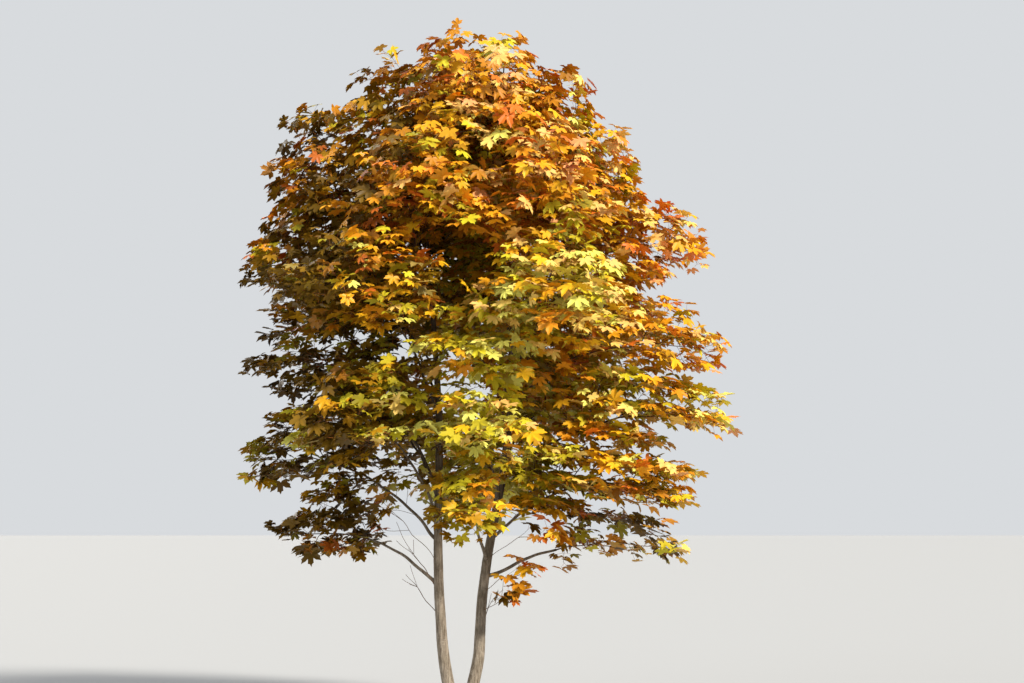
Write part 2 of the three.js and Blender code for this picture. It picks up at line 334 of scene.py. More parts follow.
# Which foliage solids each kind of leaf stands for
LEAF_MASSES = {
    "orange": ("top_crest", "top_tip", "top_left", "top_right", "top_back", "top_front", "shoulder_right",
               "upper_back", "upper_back_right", "upper_front", "upper_core"),
    "red_orange": ("right_tip", "right_arm", "upper_front_right"),
    "gold": ("middle_core", "middle_front_right", "middle_right_back", "middle_back", "right_tier",
             "low_back_right", "middle_left_front"),
    "yellow_green": ("spray_front_high", "spray_front", "spray_front_low", "low_right_tier", "low_back",
                     "lowest_right", "low_left_front"),
    "olive": ("shoulder_left", "middle_left", "middle_left_back", "left_arm", "low_left", "low_back_left",
              "lowest_left"),
}

# The warmth that a shoot's leaves lean to, by its mass, and how strongly. The low shoots are the reddest.
HOME_WARMTHS = {"foliage_" + mass: WARMTHS[kind] for kind, masses in LEAF_MASSES.items() for mass in masses}
HOME_WARMTHS["low"] = 1.1
HOME_SHARE = 0.55

# Parts of the crown that tints go by: the axis that each is read along (0 to 2 for x to z), where the
# part begins and where it is whole
CROWN_PARTS = {
    "shaded": (0, 0.15, -1.1),
    "sunny": (0, 0.6, 1.8),
    "front": (1, -0.5, -1.4),
    "high": (2, 2.7, 5.0),
    "low": (2, 2.1, 1.5),
    "lowest": (2, 2.1, 1.6),
    "right": (0, 0.4, 1.2),
    "right_half": (0, 0.2, 0.9),
    "lower_half": (2, 2.7, 2.2),
}

# The inner crown and its core reach this far from the axis. The rim lies farthest out at its middle
# height, by so much more than at the crown's foot and top, which are half the crown's height away.
INNER_RADIUS = 0.8
CORE_RADIUS = 0.7
RIM_RADIUS = 0.6
RIM_GROWTH = 1.5
RIM_MIDDLE = 3.1
RIM_HALF = 2.7

# What each part adds to the chance of olive leaves, which is partly painted shade, to the depth of the tint,
# which is painted shade where it deepens (the shaded side, the inside, low down, the low right) and painted
# sunlight where it lightens (the sunny side, the low front, the top), and to the warmth. The outer end of the
# low right tiers hangs in shade, which is painted into its tints. Below are what the lower right, uneven
# patches and chance add.
OLIVE_AND_PAINTED_SHADE = {"shaded": 0.68, "high_shaded": -0.36, "low_core": 0.12, "low_right": 0.3}
PAINTED_SUN_AND_SHADE = {"whole": 1.4, "shaded": 2.0, "sunny": -0.5, "inner": 0.6, "low": 0.7, "low_front": -0.9,
               "low_right": 1.3, "high": -0.1}
WARM_PARTS = {"whole": 0.18, "high": 0.34, "rim": 0.28}
LOW_HALF_WARMTH = 0.24
PATCHES_PER_METRE = 1.6
PATCH_WARMTH = 0.3
DEPTH_SPREAD = 0.75
WARMTH_SPREAD = 0.13

# The picture's frame, the place that it was taken from, and how far the floor and the sight reach
LENS = 76.57
SENSOR = 36.0
EYE = (0.435, -18.2, 1.6)
PITCH = 4.8
FLOOR_SIZE = 600.0
SIGHT = 1000.0

# Lamps: the softness in degrees, the place that each shines from and its colour
LAMPS = {
    "key": (13, (10.0, -9.5, 13.5), (1.0, 0.95, 0.86)),
    "fill": (50, (-11.0, -10.0, 6.0), (0.92, 0.96, 1.0)),
    "back": (50, (-6.0, 12.0, 9.0), (1.0, 0.97, 0.92)),
}
LAMP_TARGET = (0, 0, 3)
SURROUND_COLOUR = (0.86, 0.9, 0.95, 1)


def linear(red, green, blue):
    """A colour of three numbers up to 255, as the light that it stands for on the sRGB curve."""
    shares = (value / 255 for value in (red, green, blue))
    return tuple(((share + 0.055) / 1.055) ** 2.4 if share > 0.04 else share / 12.92 for share in shares)


def unit(vectors):
    """The same directions, each one long."""
    lengths = np.linalg.norm(vectors, axis=-1, keepdims=True)
    return vectors / np.maximum(lengths, TINY)


def smooth_share(value, start, end):
    """How far a value has come from a start to an end, from 0 to 1, with soft ends."""
    share = np.clip((value - start) / (end - start), 0, 1)
    return share * share * (3 - 2 * share)


def fade(value, span, before, after):
    """A number that changes softly from one to another as a value passes over a span."""
    return before + (after - before) * smooth_share(value, *span)


def mixed_way(shares, *ways):
    """A direction mixed from several by their shares."""
    return sum(share * way for share, way in zip(shares, ways))


def outward(points):
    """The level direction from the crown's axis to each point."""
    return unit((points - CROWN_AXIS) * LEVEL)


# Settings


def length_setting(name, description, default, least):
    """A setting that is a length in metres."""
    return FloatProperty(name=name, description=description, default=default, min=least, unit="LENGTH")


def strength_setting(name, description, default):
    """A setting that is the strength of a light."""
    return FloatProperty(name=name, description=description, default=default, min=0.0)


def colour_setting(name, description, *shade):
    """A setting that is a colour, with its default as three numbers up to 255."""
    return FloatVectorProperty(
        name=name,
        description=description,
        subtype="COLOR",
        default=linear(*shade),
        min=0.0,
        max=1.0,
    )


class MapleSizes(bpy.types.PropertyGroup):
    """Sizes of the tree's finer parts."""

    seed: IntProperty(
        name="Seed",
        description="Number that every chance in the growth starts from",
        default=11,
        min=0,
    )
    shoots: FloatProperty(
        name="Leafy shoots",
        description="Leafy shoots in each cubic metre of foliage",
        default=160.0,
        min=10.0,
    )
    leaf_width: length_setting("Leaf width", "Usual width of a leaf", 0.13, 0.02)
    stalk_length: length_setting("Stalk length", "Usual length of a leaf's stalk", 0.075, 0.005)
    stalk_radius: length_setting("Stalk radius", "Half the thickness of a leaf's stalk", 0.0013, 0.0003)
    twig_radius: length_setting("Twig radius", "Half the thickness of a twig at its tip", 0.0017, 0.0005)
    furrow_depth: length_setting(
        "Furrow depth", "Depth of the furrows in the bark of the stems", FURROW_DEPTH, 0.0
    )


class MapleColours(bpy.types.PropertyGroup):
    """Colours of the bark, the stalks and each kind of leaf."""

    bark: colour_setting("Bark", "Main colour of the bark", 164, 151, 134)
    bark_deep: colour_setting("Bark furrows", "Colour down in the furrows of the bark", 104, 91, 76)
    bark_pale: colour_setting("Bark flecks", "Colour of the pale flecks of lichen on the bark", 176, 171, 156)
    twig: colour_setting("Twigs", "Colour of the young twigs", 104, 76, 52)
    stalk: colour_setting("Leaf stalks", "Colour of the leaf stalks", 190, 110, 52)
    yellow_green: colour_setting(
        "Yellow-green leaves", "Middle tint of the leaves that are still partly green", 190, 172, 36
    )
    gold: colour_setting("Gold leaves", "Middle tint of the golden leaves", 212, 156, 24)
    orange: colour_setting("Orange leaves", "Middle tint of the orange leaves", 214, 141, 25)
    red_orange: colour_setting("Red-orange leaves", "Middle tint of the reddest leaves", 214, 113, 32)
    # The olive leaves are partly their own colour and partly painted shade of the crown's shaded side
    olive: colour_setting("Olive leaves", "Middle tint of the leaves on the shaded side", 132, 98, 14)


class MapleStage(bpy.types.PropertyGroup):
    """The plain studio round the tree."""

    key_light: strength_setting("Key light", "Strength of the soft light from the sunny side", 5.2)
    fill_light: strength_setting("Fill light", "Strength of the weak light on the shaded side", 0.7)
    back_light: strength_setting("Back light", "Strength of the weak light from behind", 1.9)
    surround: strength_setting("Surround", "Strength of the soft light from all round", 0.46)
    backdrop: colour_setting("Backdrop", "Colour of the plain surround where it shows", 216, 219, 222)
    floor: colour_setting("Floor", "Colour of the floor", 176, 177, 178)


# Limbs of the frame


def vertex_values(mesh, key):
    """The places or normals of a mesh's vertices."""
    values = np.empty(len(mesh.vertices) * 3, np.float32)
    mesh.vertices.foreach_get(key, values)
    return values.reshape(-1, 3)


def node_corners(name):
    """The corners of a frame node's mesh."""
    return vertex_values(frame["nodes"][name].data, "co").astype(float)


def node_triangles(name):
    """The corners of each of a frame node's triangles."""
    mesh = frame["nodes"][name].data
    mesh.calc_loop_triangles()
    index = np.empty(len(mesh.loop_triangles) * 3, np.int32)
    mesh.loop_triangles.foreach_get("vertices", index)
    return node_corners(name)[index].reshape(-1, 3, 3)


def section(triangles, way, level):
    """Where a plane across a direction cuts triangles, as points."""
    heights = triangles @ way
    points = []
    for a, b in ((0, 1), (1, 2), (2, 0)):
        crossed = (heights[:, a] - level) * (heights[:, b] - level) < 0
        share = (level - heights[crossed, a]) / (heights[crossed, b] - heights[crossed, a])
        start = triangles[crossed, a]
        points.append(start + share[:, None] * (triangles[crossed, b] - start))
    return np.concatenate(points)


def middle_and_radius(points, way):
    """The middle of a cut limb, and the radius of a round limb of the same section."""
    side = unit(np.cross(way, CUT_TURN))
    ahead = np.cross(way, side)
    flat = np.stack((points @ side, points @ ahead), axis=1)
    mean = flat.mean(axis=0)
    ring = flat - mean
    ring = ring[np.argsort(np.arctan2(ring[:, 1], ring[:, 0]))]
    after = np.roll(ring, -1, axis=0)
    areas = (ring[:, 0] * after[:, 1] - after[:, 0] * ring[:, 1]) / 2
    area = areas.sum()
    if area < TINY:
        return None
    middle = ((ring + after) * areas[:, None]).sum(axis=0) / (3 * area) + mean
    return middle[0] * side + middle[1] * ahead + (points @ way).mean() * way, math.sqrt(area / math.pi)


def measured(name, way):
    """The middles and radii of a frame limb, cut across at even steps."""
    triangles = node_triangles(name)
    reach = triangles.reshape(-1, 3) @ way
    middles, radii = [], []
    for level in np.arange(reach.min() + SECTION_INSET, reach.max() - SECTION_INSET, SECTION_GAP):
        found = middle_and_radius(section(triangles, way, level), way)
        if found:
            middles.append(found[0])
            radii.append(found[1])
    return np.array(middles), np.array(radii)


def runs(points):
    """How far along a route each of its points lies."""
    steps = np.linalg.norm(np.diff(points, axis=0), axis=1)
    return np.concatenate(((0.0,), np.cumsum(steps)))


def read_at(places, along, values):
    """Values at places along a route, read between those at its points."""
    return np.stack([np.interp(places, along, column) for column in values.T], axis=-1)


def softened(values, width):
    """Values along a route, each the mean of its neighbours, with both ends kept."""
    half = width // 2
    ends = np.concatenate((
        2 * values[:1] - values[half:0:-1],
        values,
        2 * values[-1:] - values[-2:-half - 2:-1],
    ))
    return np.stack([ends[i:i + len(values)] for i in range(width)]).mean(axis=0)


def spaced(points, radii, step, smoothing):
    """A route and its radii at even steps, with its kinks softened."""
    along = runs(points)
    places = np.linspace(0, along[-1], max(smoothing + 2, int(along[-1] / step) + 1))
    even = read_at(places, along, points)
    return softened(softened(even, smoothing), smoothing), np.interp(places, along, radii)


def wandered(points, wander, number):
    """A route with small uneven bends between its ends, in a way of its own for each number."""
    amount, salt = wander
    hold = np.sin(np.linspace(0, math.pi, len(points)))
    bends = np.array([
        [noise.noise(Vector(point * BENDS_PER_METRE + number * salt + shift)) for shift in BEND_SHIFTS]
        for point in points
    ])
    return points + amount * hold[:, None] * bends


def ways_along(points):
    """The direction of a route at each of its points."""
    return unit(np.gradient(points, axis=0))


@functools.cache
def stems():
    """Each stem's route from the ground to its tip, with its radii."""
    routes = {}
    for name, foot in STEM_FEET.items():
        middles, radii = measured(name, UP)
        # The lowest cuts are left out, where the stem is only partly there
        while radii[0] < WHOLE_SECTION * radii[2]:
            middles, radii = middles[1:], radii[1:]
        before, last = middles[-3], middles[-1]
        top = node_corners(name)[:, 2].max()
        tip = last + (last - before) * (top - last[2]) / (last[2] - before[2])
        points = np.concatenate(((foot,), middles, (tip,)))
        radii = np.concatenate((radii[:1], radii, radii[-1:] * TIP_NARROWING))
        routes[name] = spaced(points, radii, ROUTE_STEP, STEM_SMOOTHING)
    return routes


def nearest_place(routes, point):
    """The limb, and the place on it, that lies nearest to a point."""
    best = None
    for name, (points, _) in routes.items():
        gaps = np.linalg.norm(points - point, axis=1)
        place = int(gaps.argmin())
        if best is None or gaps[place] < best[0]:
            best = (gaps[place], name, place)
    return best[1], best[2]


@functools.cache
def limbs():
    """Routes and radii of the stems, the outer limb and the boughs, each from inside what carries it."""
    routes = dict(stems())
    for name in (LIMB, *BOUGHS):
        corners = node_corners(name)
        middle = corners.mean(axis=0)
        _, _, axes = np.linalg.svd(corners - middle, full_matrices=False)
        way = axes[0] * (1 if axes[0] @ outward(middle) > 0 else -1)
        middles, radii = measured(name, way)
        away = np.linalg.norm((middles[0] - CROWN_AXIS)[:2])
        carrier, place = nearest_place(stems(), middles[0] - way * away * FOOT_SEARCH)
        points = np.concatenate(((routes[carrier][0][place],), middles))
        radii = np.concatenate((radii[1:2], radii[1:2], radii[1:]))
        points, radii = spaced(points, radii, ROUTE_STEP, BOUGH_SMOOTHING)
        routes[name] = wandered(points, BOUGH_WANDER, len(routes)), radii
    return routes


# Growth


class Wood:
    """All the shoots of the crown. Each has its points, the shoot and place that it grows from, and the
    number of leafy tips that each of its points carries."""

    def __init__(self):
        self.shoots = []

    def add(self, points, parent=None, place=0, radii=None, leafy=True, mass=None, pairs=PAIRS):
        """Adds a shoot and gives its number."""
        self.shoots.append({
            "points": points,
            "ways": ways_along(points),
            "parent": parent,
            "place": place,
            "radii": radii,
            "leafy": leafy,
            "mass": mass,
            "pairs": pairs,
            "load": np.full(len(points), 1.0 if leafy else 0.0),
        })
        return len(self.shoots) - 1

    def carry(self):
        """Adds up what each shoot carries, from the last shoot to the first."""
        for shoot in reversed(self.shoots):
            if shoot["parent"] is not None:
                parent = self.shoots[shoot["parent"]]
                parent["load"][:shoot["place"] + 1] += shoot["load"][0]

    def radii_of(self, shoot, tip_radius):
        """A shoot's radius at each point, from the tips that it carries."""
        if shoot["radii"] is not None:
            return shoot["radii"]
        radii = tip_radius * np.maximum(shoot["load"], 1) ** (1 / PIPE_POWER)
        return softened(radii, 3) if len(radii) > 3 else radii


def bent_route(start, way, end, arrival):
    """A smooth way from one point to another, with the direction that it leaves and arrives in."""
    length = np.linalg.norm(end - start)
    first = start + unit(way) * length * LEAVING_PULL
    second = end - unit(arrival) * length * ARRIVING_PULL
    share = np.linspace(0, 1, max(4, math.ceil(length / SHOOT_STEP) + 1))[:, None]
    back = 1 - share
    return (
        back ** 3 * start
        + 3 * back ** 2 * share * first
        + 3 * back * share ** 2 * second
        + share ** 3 * end
    )


def skin_places(triangles, weights, count, rng):
    """Places dealt by chance over triangles."""
    picked = triangles[rng.choice(len(triangles), size=count, p=weights)]
    a, b = rng.random((2, count))
    over = a + b > 1
    a[over], b[over] = 1 - a[over], 1 - b[over]
    first, second, third = picked[:, 0], picked[:, 1], picked[:, 2]
    return first + a[:, None] * (second - first) + b[:, None] * (third - first)


def places_within(skin, centre, rng):
    """Places between a mass's centre and its skin. They stop short of the crown's outside, but cross the
    gaps between its masses."""
    rays = skin - centre
    reach = np.linalg.norm(rays, axis=1, keepdims=True)
    heart = np.array((*CROWN_AXIS[:2], CROWN_HEART))
    outside = ((rays / reach) * unit(skin - heart)).sum(axis=1, keepdims=True)
    flatness = np.linalg.norm(rays[:, :2], axis=1, keepdims=True) / reach
    crossing = GAP_CROSSING * flatness * fade(outside, OUTER_SIDE, 1, 0)
    crossing *= fade(skin[:, 2:], CROSSING_RISE, LOW_CROSSING, 1)
    margin = LEAF_MARGIN * fade(rays[:, 2:] / reach, TOP_RISE, 1, TOP_MARGIN)
    most = np.maximum(1 + (crossing - margin) / reach, LEAST_REACH)
    depth = rng.random((len(skin), 1)) ** (1 / CROWDING)
    return centre + (skin - centre) * most * (HOLLOW + (1 - HOLLOW) * depth)


def draw_to_tiers(places, rng):
    """Draws places towards levels that droop away from the crown's axis, most of all low in the crown."""
    away = np.linalg.norm((places - CROWN_AXIS)[:, :2], axis=1)
    flat = places[:, 2] + TIER_DROOP * away
    level = np.round(flat / TIER_GAP) * TIER_GAP + rng.normal(0, TIER_SPREAD, len(flat))
    pull = fade(places[:, 2], TIER_RISE, LOW_TIER_PULL, HIGH_TIER_PULL)
    places[:, 2] += pull * (level - flat)


def spread_out(places, count, rng):
    """As many of the places as are asked for, each the farthest from all that are taken before it."""
    taken = [int(rng.integers(len(places)))]
    gaps = np.full(len(places), np.inf)
    squash = np.array((1.0, 1.0, HEIGHT_GAP))
    for _ in range(count - 1):
        gaps = np.minimum(gaps, np.linalg.norm((places - places[taken[-1]]) * squash, axis=1))
        taken.append(int(gaps.argmax()))
    return places[taken]


def tip_places(name, density, rng):
    """A mass's centre and corners, and where its leafy shoots end: evenly through its outer part."""
    triangles = node_triangles(name)
    crosses = np.cross(triangles[:, 1] - triangles[:, 0], triangles[:, 2] - triangles[:, 0])
    areas = np.linalg.norm(crosses, axis=1)
    centre = (triangles.mean(axis=1) * areas[:, None]).sum(axis=0) / areas.sum()
    volume = abs(np.einsum("ij,ij->i", triangles[:, 0] - centre, crosses).sum()) / 6
    count = max(FEWEST_SHOOTS, round(volume * density))
    skin = skin_places(triangles, areas / areas.sum(), count * CANDIDATES, rng)
    places = places_within(skin, centre, rng)
    draw_to_tiers(places, rng)
    return centre, triangles.reshape(-1, 3), spread_out(places, count, rng)


def fullness(mass):
    """How thickly a mass is leaved beside the others."""
    if mass.endswith(("_core", "lowest_right")):
        return CORE_FULLNESS
    low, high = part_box(mass)
    return THIN_FULLNESS if (high - low).z < THIN_TIER else 1.0


def leader_start(wood, mass, centre, limb_ids):
    """The shoot and place that a mass's leader grows on from: its bough's end, or a place on a stem."""
    bough = "bough_" + mass.removeprefix("foliage_")
    if bough in limb_ids:
        shoot = limb_ids[bough]
        return shoot, len(wood.shoots[shoot]["points"]) - 1
    best = None
    for name in (*STEM_FEET, LIMB):
        shoot = limb_ids[name]
        points = wood.shoots[shoot]["points"]
        gap = centre - points
        off_slope = np.abs(gap[:, 2] - RISING_SLOPE * np.linalg.norm(gap[:, :2], axis=1))
        cost = np.linalg.norm(gap, axis=1) + SLOPE_COST * off_slope + LOW_COST * (points[:, 2] < LOWEST_FORK)
        place = int(cost.argmin())
        if best is None or cost[place] < best[0]:
            best = (cost[place], shoot, place)
    return best[1], best[2]


class Joints:
    """Where new shoots of a mass can join the wood: each place, its way, how far it lies along its leader,
    and the shoot and point there."""

    def __init__(self):
        self.places, self.ways, self.run, self.owners = np.empty((0, 3)), np.empty((0, 3)), np.empty(0), []

    def add(self, shoot, number, points, run):
        """Adds some of a shoot's points."""
        self.places = np.concatenate((self.places, shoot["points"][points]))
        self.ways = np.concatenate((self.ways, shoot["ways"][points]))
        self.run = np.concatenate((self.run, run))
        self.owners += [(number, int(point)) for point in points]

    def best_for(self, tip):
        """The joint that a shoot to a tip grows from: near it, with little turn and a short run back."""
        gap = tip - self.places
        distance = np.linalg.norm(gap, axis=1)
        ahead = (gap * self.ways).sum(axis=1) / np.maximum(distance, TINY)
        cost = distance * (1 + TURN_COST * (1 - ahead)) + RUN_COST * self.run + NEAR_COST * (distance < NEAR)
        return int(cost.argmin())


def grow_leader(wood, mass, order, centre, corners, limb_ids):
    """The leader that carries a mass, and the place that it starts from."""
    parent, place = leader_start(wood, mass, centre, limb_ids)
    start, way = wood.shoots[parent]["points"][place], wood.shoots[parent]["ways"][place]
    out = outward(centre)
    reach = ((corners - centre) @ out).max() * LEADER_REACH
    end = centre + out * reach - UP * TIER_DROOP * reach
    leaving = way if place == len(wood.shoots[parent]["points"]) - 1 else unit(way + LEADER_TURN * out)
    route = bent_route(start, leaving, end, out - LEADER_DROOP * UP)
    return wood.add(wandered(route, LEADER_WANDER, order), parent, place, mass=mass), start


def grow_mass(wood, mass, order, density, rng, limb_ids):
    """A mass's leader and its leafy shoots, from the nearest tip to the farthest."""
    centre, corners, tips = tip_places(mass, density * fullness(mass), rng)
    leader, start = grow_leader(wood, mass, order, centre, corners, limb_ids)
    shoot = wood.shoots[leader]
    joints = Joints()
    joints.add(shoot, leader, np.arange(1, len(shoot["points"])), runs(shoot["points"])[1:])
    if mass.endswith("_core") or mass.startswith(("foliage_top", "foliage_shoulder")):
        for name in (*STEM_FEET, LIMB):
            stem = wood.shoots[limb_ids[name]]
            within = np.linalg.norm(stem["points"] - centre, axis=1) < STEM_JOIN_REACH
            near = np.flatnonzero(within & (stem["points"][:, 2] > STEM_JOIN_FOOT))[::STEM_JOIN_STEP]
            joints.add(stem, limb_ids[name], near, np.full(len(near), STEM_JOIN_RUN))
    for tip in tips[np.argsort(np.linalg.norm(tips - start, axis=1))]:
        best = joints.best_for(tip)
        base = joints.places[best]
        toward = unit(tip - base)
        arrival = mixed_way(SHOOT_ARRIVAL, outward(tip), toward, UP) + rng.normal(0, ARRIVAL_SPREAD, 3)
        leaving = mixed_way(SHOOT_LEAVING, joints.ways[best], toward, UP) + rng.normal(0, LEAVING_SPREAD, 3)
        route = bent_route(base, unit(leaving), tip, unit(arrival))
        route = wandered(route, SHOOT_WANDER, len(wood.shoots))
        number = wood.add(route, *joints.owners[best], mass=mass)
        run = joints.run[best] + runs(route)[1:]
        joints.add(wood.shoots[number], number, np.arange(1, len(route)), run)


def grow_side_shoots(wood, parent, rng, lowest, highest, first, gap, lengths):
    """Leafy shoots in turn round a limb, from a share of its length on, between two heights."""
    points, ways = wood.shoots[parent]["points"], wood.shoots[parent]["ways"]
    along = runs(points)
    turn = rng.uniform(0, 2 * math.pi)
    for distance in np.arange(first * along[-1], along[-1], gap):
        place = int(np.searchsorted(along, distance))
        turn += GOLDEN_TURN
        if not lowest < points[place, 2] < highest or rng.random() < SIDE_SHOOT_MISSING:
            continue
        side, over = (axis[place] for axis in frames_along(ways))
        round_way = side * math.cos(turn) + over * math.sin(turn)
        round_way = unit(round_way * SIDE_SHOOT_WAY + UP * SIDE_SHOOT_RISE)
        length = rng.uniform(*lengths)
        end = points[place] + unit(round_way + ways[place] * SIDE_SHOOT_LEAN) * length
        route = bent_route(points[place], ways[place] * SIDE_SHOOT_START + round_way, end, round_way)
        pairs = int(rng.integers(*SIDE_SHOOT_PAIRS, endpoint=True))
        wood.add(route, parent, place, mass="side", pairs=pairs)


def grow_low_shoot(wood, parent, height, tip, pairs, rng):
    """A single shoot on the open stem, with a few twigs."""
    points = wood.shoots[parent]["points"]
    place = int(np.abs(points[:, 2] - height).argmin())
    start, tip = points[place], np.array(tip)
    toward = unit(tip - start)
    arrival = toward + rng.normal(0, LOW_SHOOT_SPREAD, 3)
    route = wandered(bent_route(start, toward + LOW_SHOOT_RISE * UP, tip, arrival), LOW_WANDER, height)
    shoot = wood.add(route, parent, place, mass="low", pairs=pairs)
    for share in rng.uniform(*LOW_TWIG_PLACES, LOW_TWIGS):
        branch = int(share * (len(route) - 1))
        side = unit(toward * LOW_TWIG_AHEAD + rng.normal(0, LOW_TWIG_SPREAD, 3))
        end = route[branch] + side * rng.uniform(*LOW_TWIG_LENGTHS)
        twig = bent_route(route[branch], side, end, side + LOW_TWIG_RISE * UP)
        wood.add(twig, shoot, branch, mass="low", pairs=min(pairs, 1))


@functools.cache
def grown(seed, density):
    """The whole crown's wood: limbs of the frame first, then each mass's leader and its leafy shoots, and
    the side shoots and low shoots last."""
    wood = Wood()
    limb_ids = {}
    for name, (points, radii) in limbs().items():
        limb_ids[name] = wood.add(points, radii=radii, leafy=False)
    for order, mass in enumerate(MASSES):
        grow_mass(wood, mass, order, density, np.random.default_rng((seed, order)), limb_ids)
    rng = np.random.default_rng((seed, len(MASSES)))
    for name in BOUGHS:
        grow_side_shoots(wood, limb_ids[name], rng, **BOUGH_SHOOTS)
    for name in STEM_FEET:
        grow_side_shoots(wood, limb_ids[name], rng, **STEM_SHOOTS)
    for stem, height, tip, pairs in LOW_SHOOTS:
        grow_low_shoot(wood, limb_ids[stem], height, tip, pairs, rng)
    wood.carry()
    return wood


# Meshes from arrays


def mesh_of(name, vertices, faces):
    """A new mesh object of triangles, from arrays."""
    mesh = bpy.data.meshes.new(name)
    count, sides = faces.shape
    mesh.vertices.add(len(vertices))
    mesh.vertices.foreach_set("co", vertices.astype(np.float32).ravel())
    mesh.loops.add(count * sides)
    mesh.loops.foreach_set("vertex_index", faces.astype(np.int32).ravel())
    mesh.polygons.add(count)
    mesh.polygons.foreach_set("loop_start", np.arange(count, dtype=np.int32) * sides)
    mesh.polygons.foreach_set("loop_total", np.full(count, sides, np.int32))
    mesh.polygons.foreach_set("use_smooth", np.ones(count, bool))
    mesh.update(calc_edges=True)
    mesh.validate()
    piece = bpy.data.objects.new(name, mesh)
    bpy.context.scene.collection.objects.link(piece)
    return piece


def frames_along(ways):
    """Two directions across each point of a route, which turn with it and never twist."""
    side = unit(np.cross(ways[0], STEEP_TURN if abs(ways[0][2]) < UPRIGHT else LEVEL_TURN))
    sides = [side]
    for way in ways[1:]:
        side = unit(side - way * (side @ way))
        sides.append(side)
    sides = np.array(sides)
    return sides, np.cross(ways, sides)


def tube(points, ways, radii, sides, relief=None):
    """A closed tapering tube as vertices and triangles, with relief added to its radius where given."""
    across, ahead = frames_along(ways)
    angle = np.arange(sides) * 2 * math.pi / sides
    cosine, sine = np.cos(angle)[None, :, None], np.sin(angle)[None, :, None]
    ring = cosine * across[:, None, :] + sine * ahead[:, None, :]
    reach = np.broadcast_to(radii[:, None], (len(points), sides)).copy()
    if relief is not None:
        reach += relief(points, ring, radii)
    vertices = (points[:, None, :] + ring * reach[:, :, None]).reshape(-1, 3)
    bottom, top = len(vertices), len(vertices) + 1
    near = np.arange(sides)
    after = (near + 1) % sides
    starts = (np.arange(len(points) - 1) * sides)[:, None]
    first, second = (starts + near).ravel(), (starts + after).ravel()
    far = near + (len(points) - 1) * sides
    vertices = np.concatenate((vertices, points[:1], points[-1:] + ways[-1:] * radii[-1] * ROUND_END))
    return vertices, np.concatenate((
        np.stack((first, second, second + sides), axis=1),
        np.stack((first, second + sides, first + sides), axis=1),
        np.stack((np.full(sides, bottom), after, near), axis=1),
        np.stack((np.full(sides, top), far, np.roll(far, -1)), axis=1),
    ))


def stretch(points, radii, rings, relief):
    """Part of a limb as a tube, with rings at a step."""
    step, sides = rings
    along = runs(points)
    places = np.linspace(0, along[-1], int(along[-1] / step) + 2)
    even = read_at(places, along, points)
    return tube(even, ways_along(even), np.interp(places, along, radii), sides, relief)


def joined(parts):
    """Several meshes' arrays as one."""
    vertices, faces, start = [], [], 0
    for points, corners in parts:
        vertices.append(points)
        faces.append(corners + start)
        start += len(points)
    return np.concatenate(vertices), np.concatenate(faces)


def fresh():
    if bpy.context.object and bpy.context.object.mode != "OBJECT":
        bpy.ops.object.mode_set(mode="OBJECT")
    bpy.ops.object.select_all(action="DESELECT")


def pick(piece):
    """Selects one piece alone and makes it the active one."""
    fresh()
    piece.select_set(True)
    bpy.context.view_layer.objects.active = piece


def finish_piece(piece, material, nodes=()):
    """Gives a piece its material and ties it to the frame."""
    piece.data.materials.clear()
    piece.data.materials.append(material)
    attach(piece, "root")
    if nodes:
        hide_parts(*nodes)


# Materials


def set_inputs(tree, made, **inputs):
    """Sets inputs of a shader node to values, or links them to another node's output."""
    for key, value in inputs.items():
        socket = made.inputs[key.replace("_", " ")]
        if isinstance(value, bpy.types.NodeSocket):
            tree.links.new(value, socket)
        else:
            socket.default_value = value
    return made


def add_node(tree, kind, **inputs):
    """A new shader node with some of its inputs set or linked."""
    return set_inputs(tree, tree.nodes.new(kind), **inputs)


def ramp_between(tree, value, low, high, stops=(0, 1)):
    """The output of a ramp between two colours, with the places of its two stops."""
    ramp = add_node(tree, "ShaderNodeValToRGB", Fac=value)
    for stop, place, colour in zip(ramp.color_ramp.elements, stops, (low, high)):
        stop.position = place
        stop.color = (*colour, 1)
    return ramp.outputs["Color"]


def mixed(tree, blend, share, first, second):
    """The output of a mix of two colours."""
    mix = tree.nodes.new("ShaderNodeMix")
    mix.data_type = "RGBA"
    mix.blend_type = blend
    return set_inputs(tree, mix, Factor=share, A=first, B=second).outputs["Result"]


def material_named(name, roughness, specular):
    """A new material, its node tree and its shader."""
    material = bpy.data.materials.new(name)
    material.use_nodes = True
    tree = material.node_tree
    shader = tree.nodes["Principled BSDF"]
    return material, tree, set_inputs(tree, shader, Roughness=roughness, Specular_IOR_Level=specular)


def plain_material(name, colour, roughness, specular):
    """A matt material of one base colour."""
    material, tree, shader = material_named(name, roughness, specular)
    set_inputs(tree, shader, Base_Color=(*colour, 1))
    return material


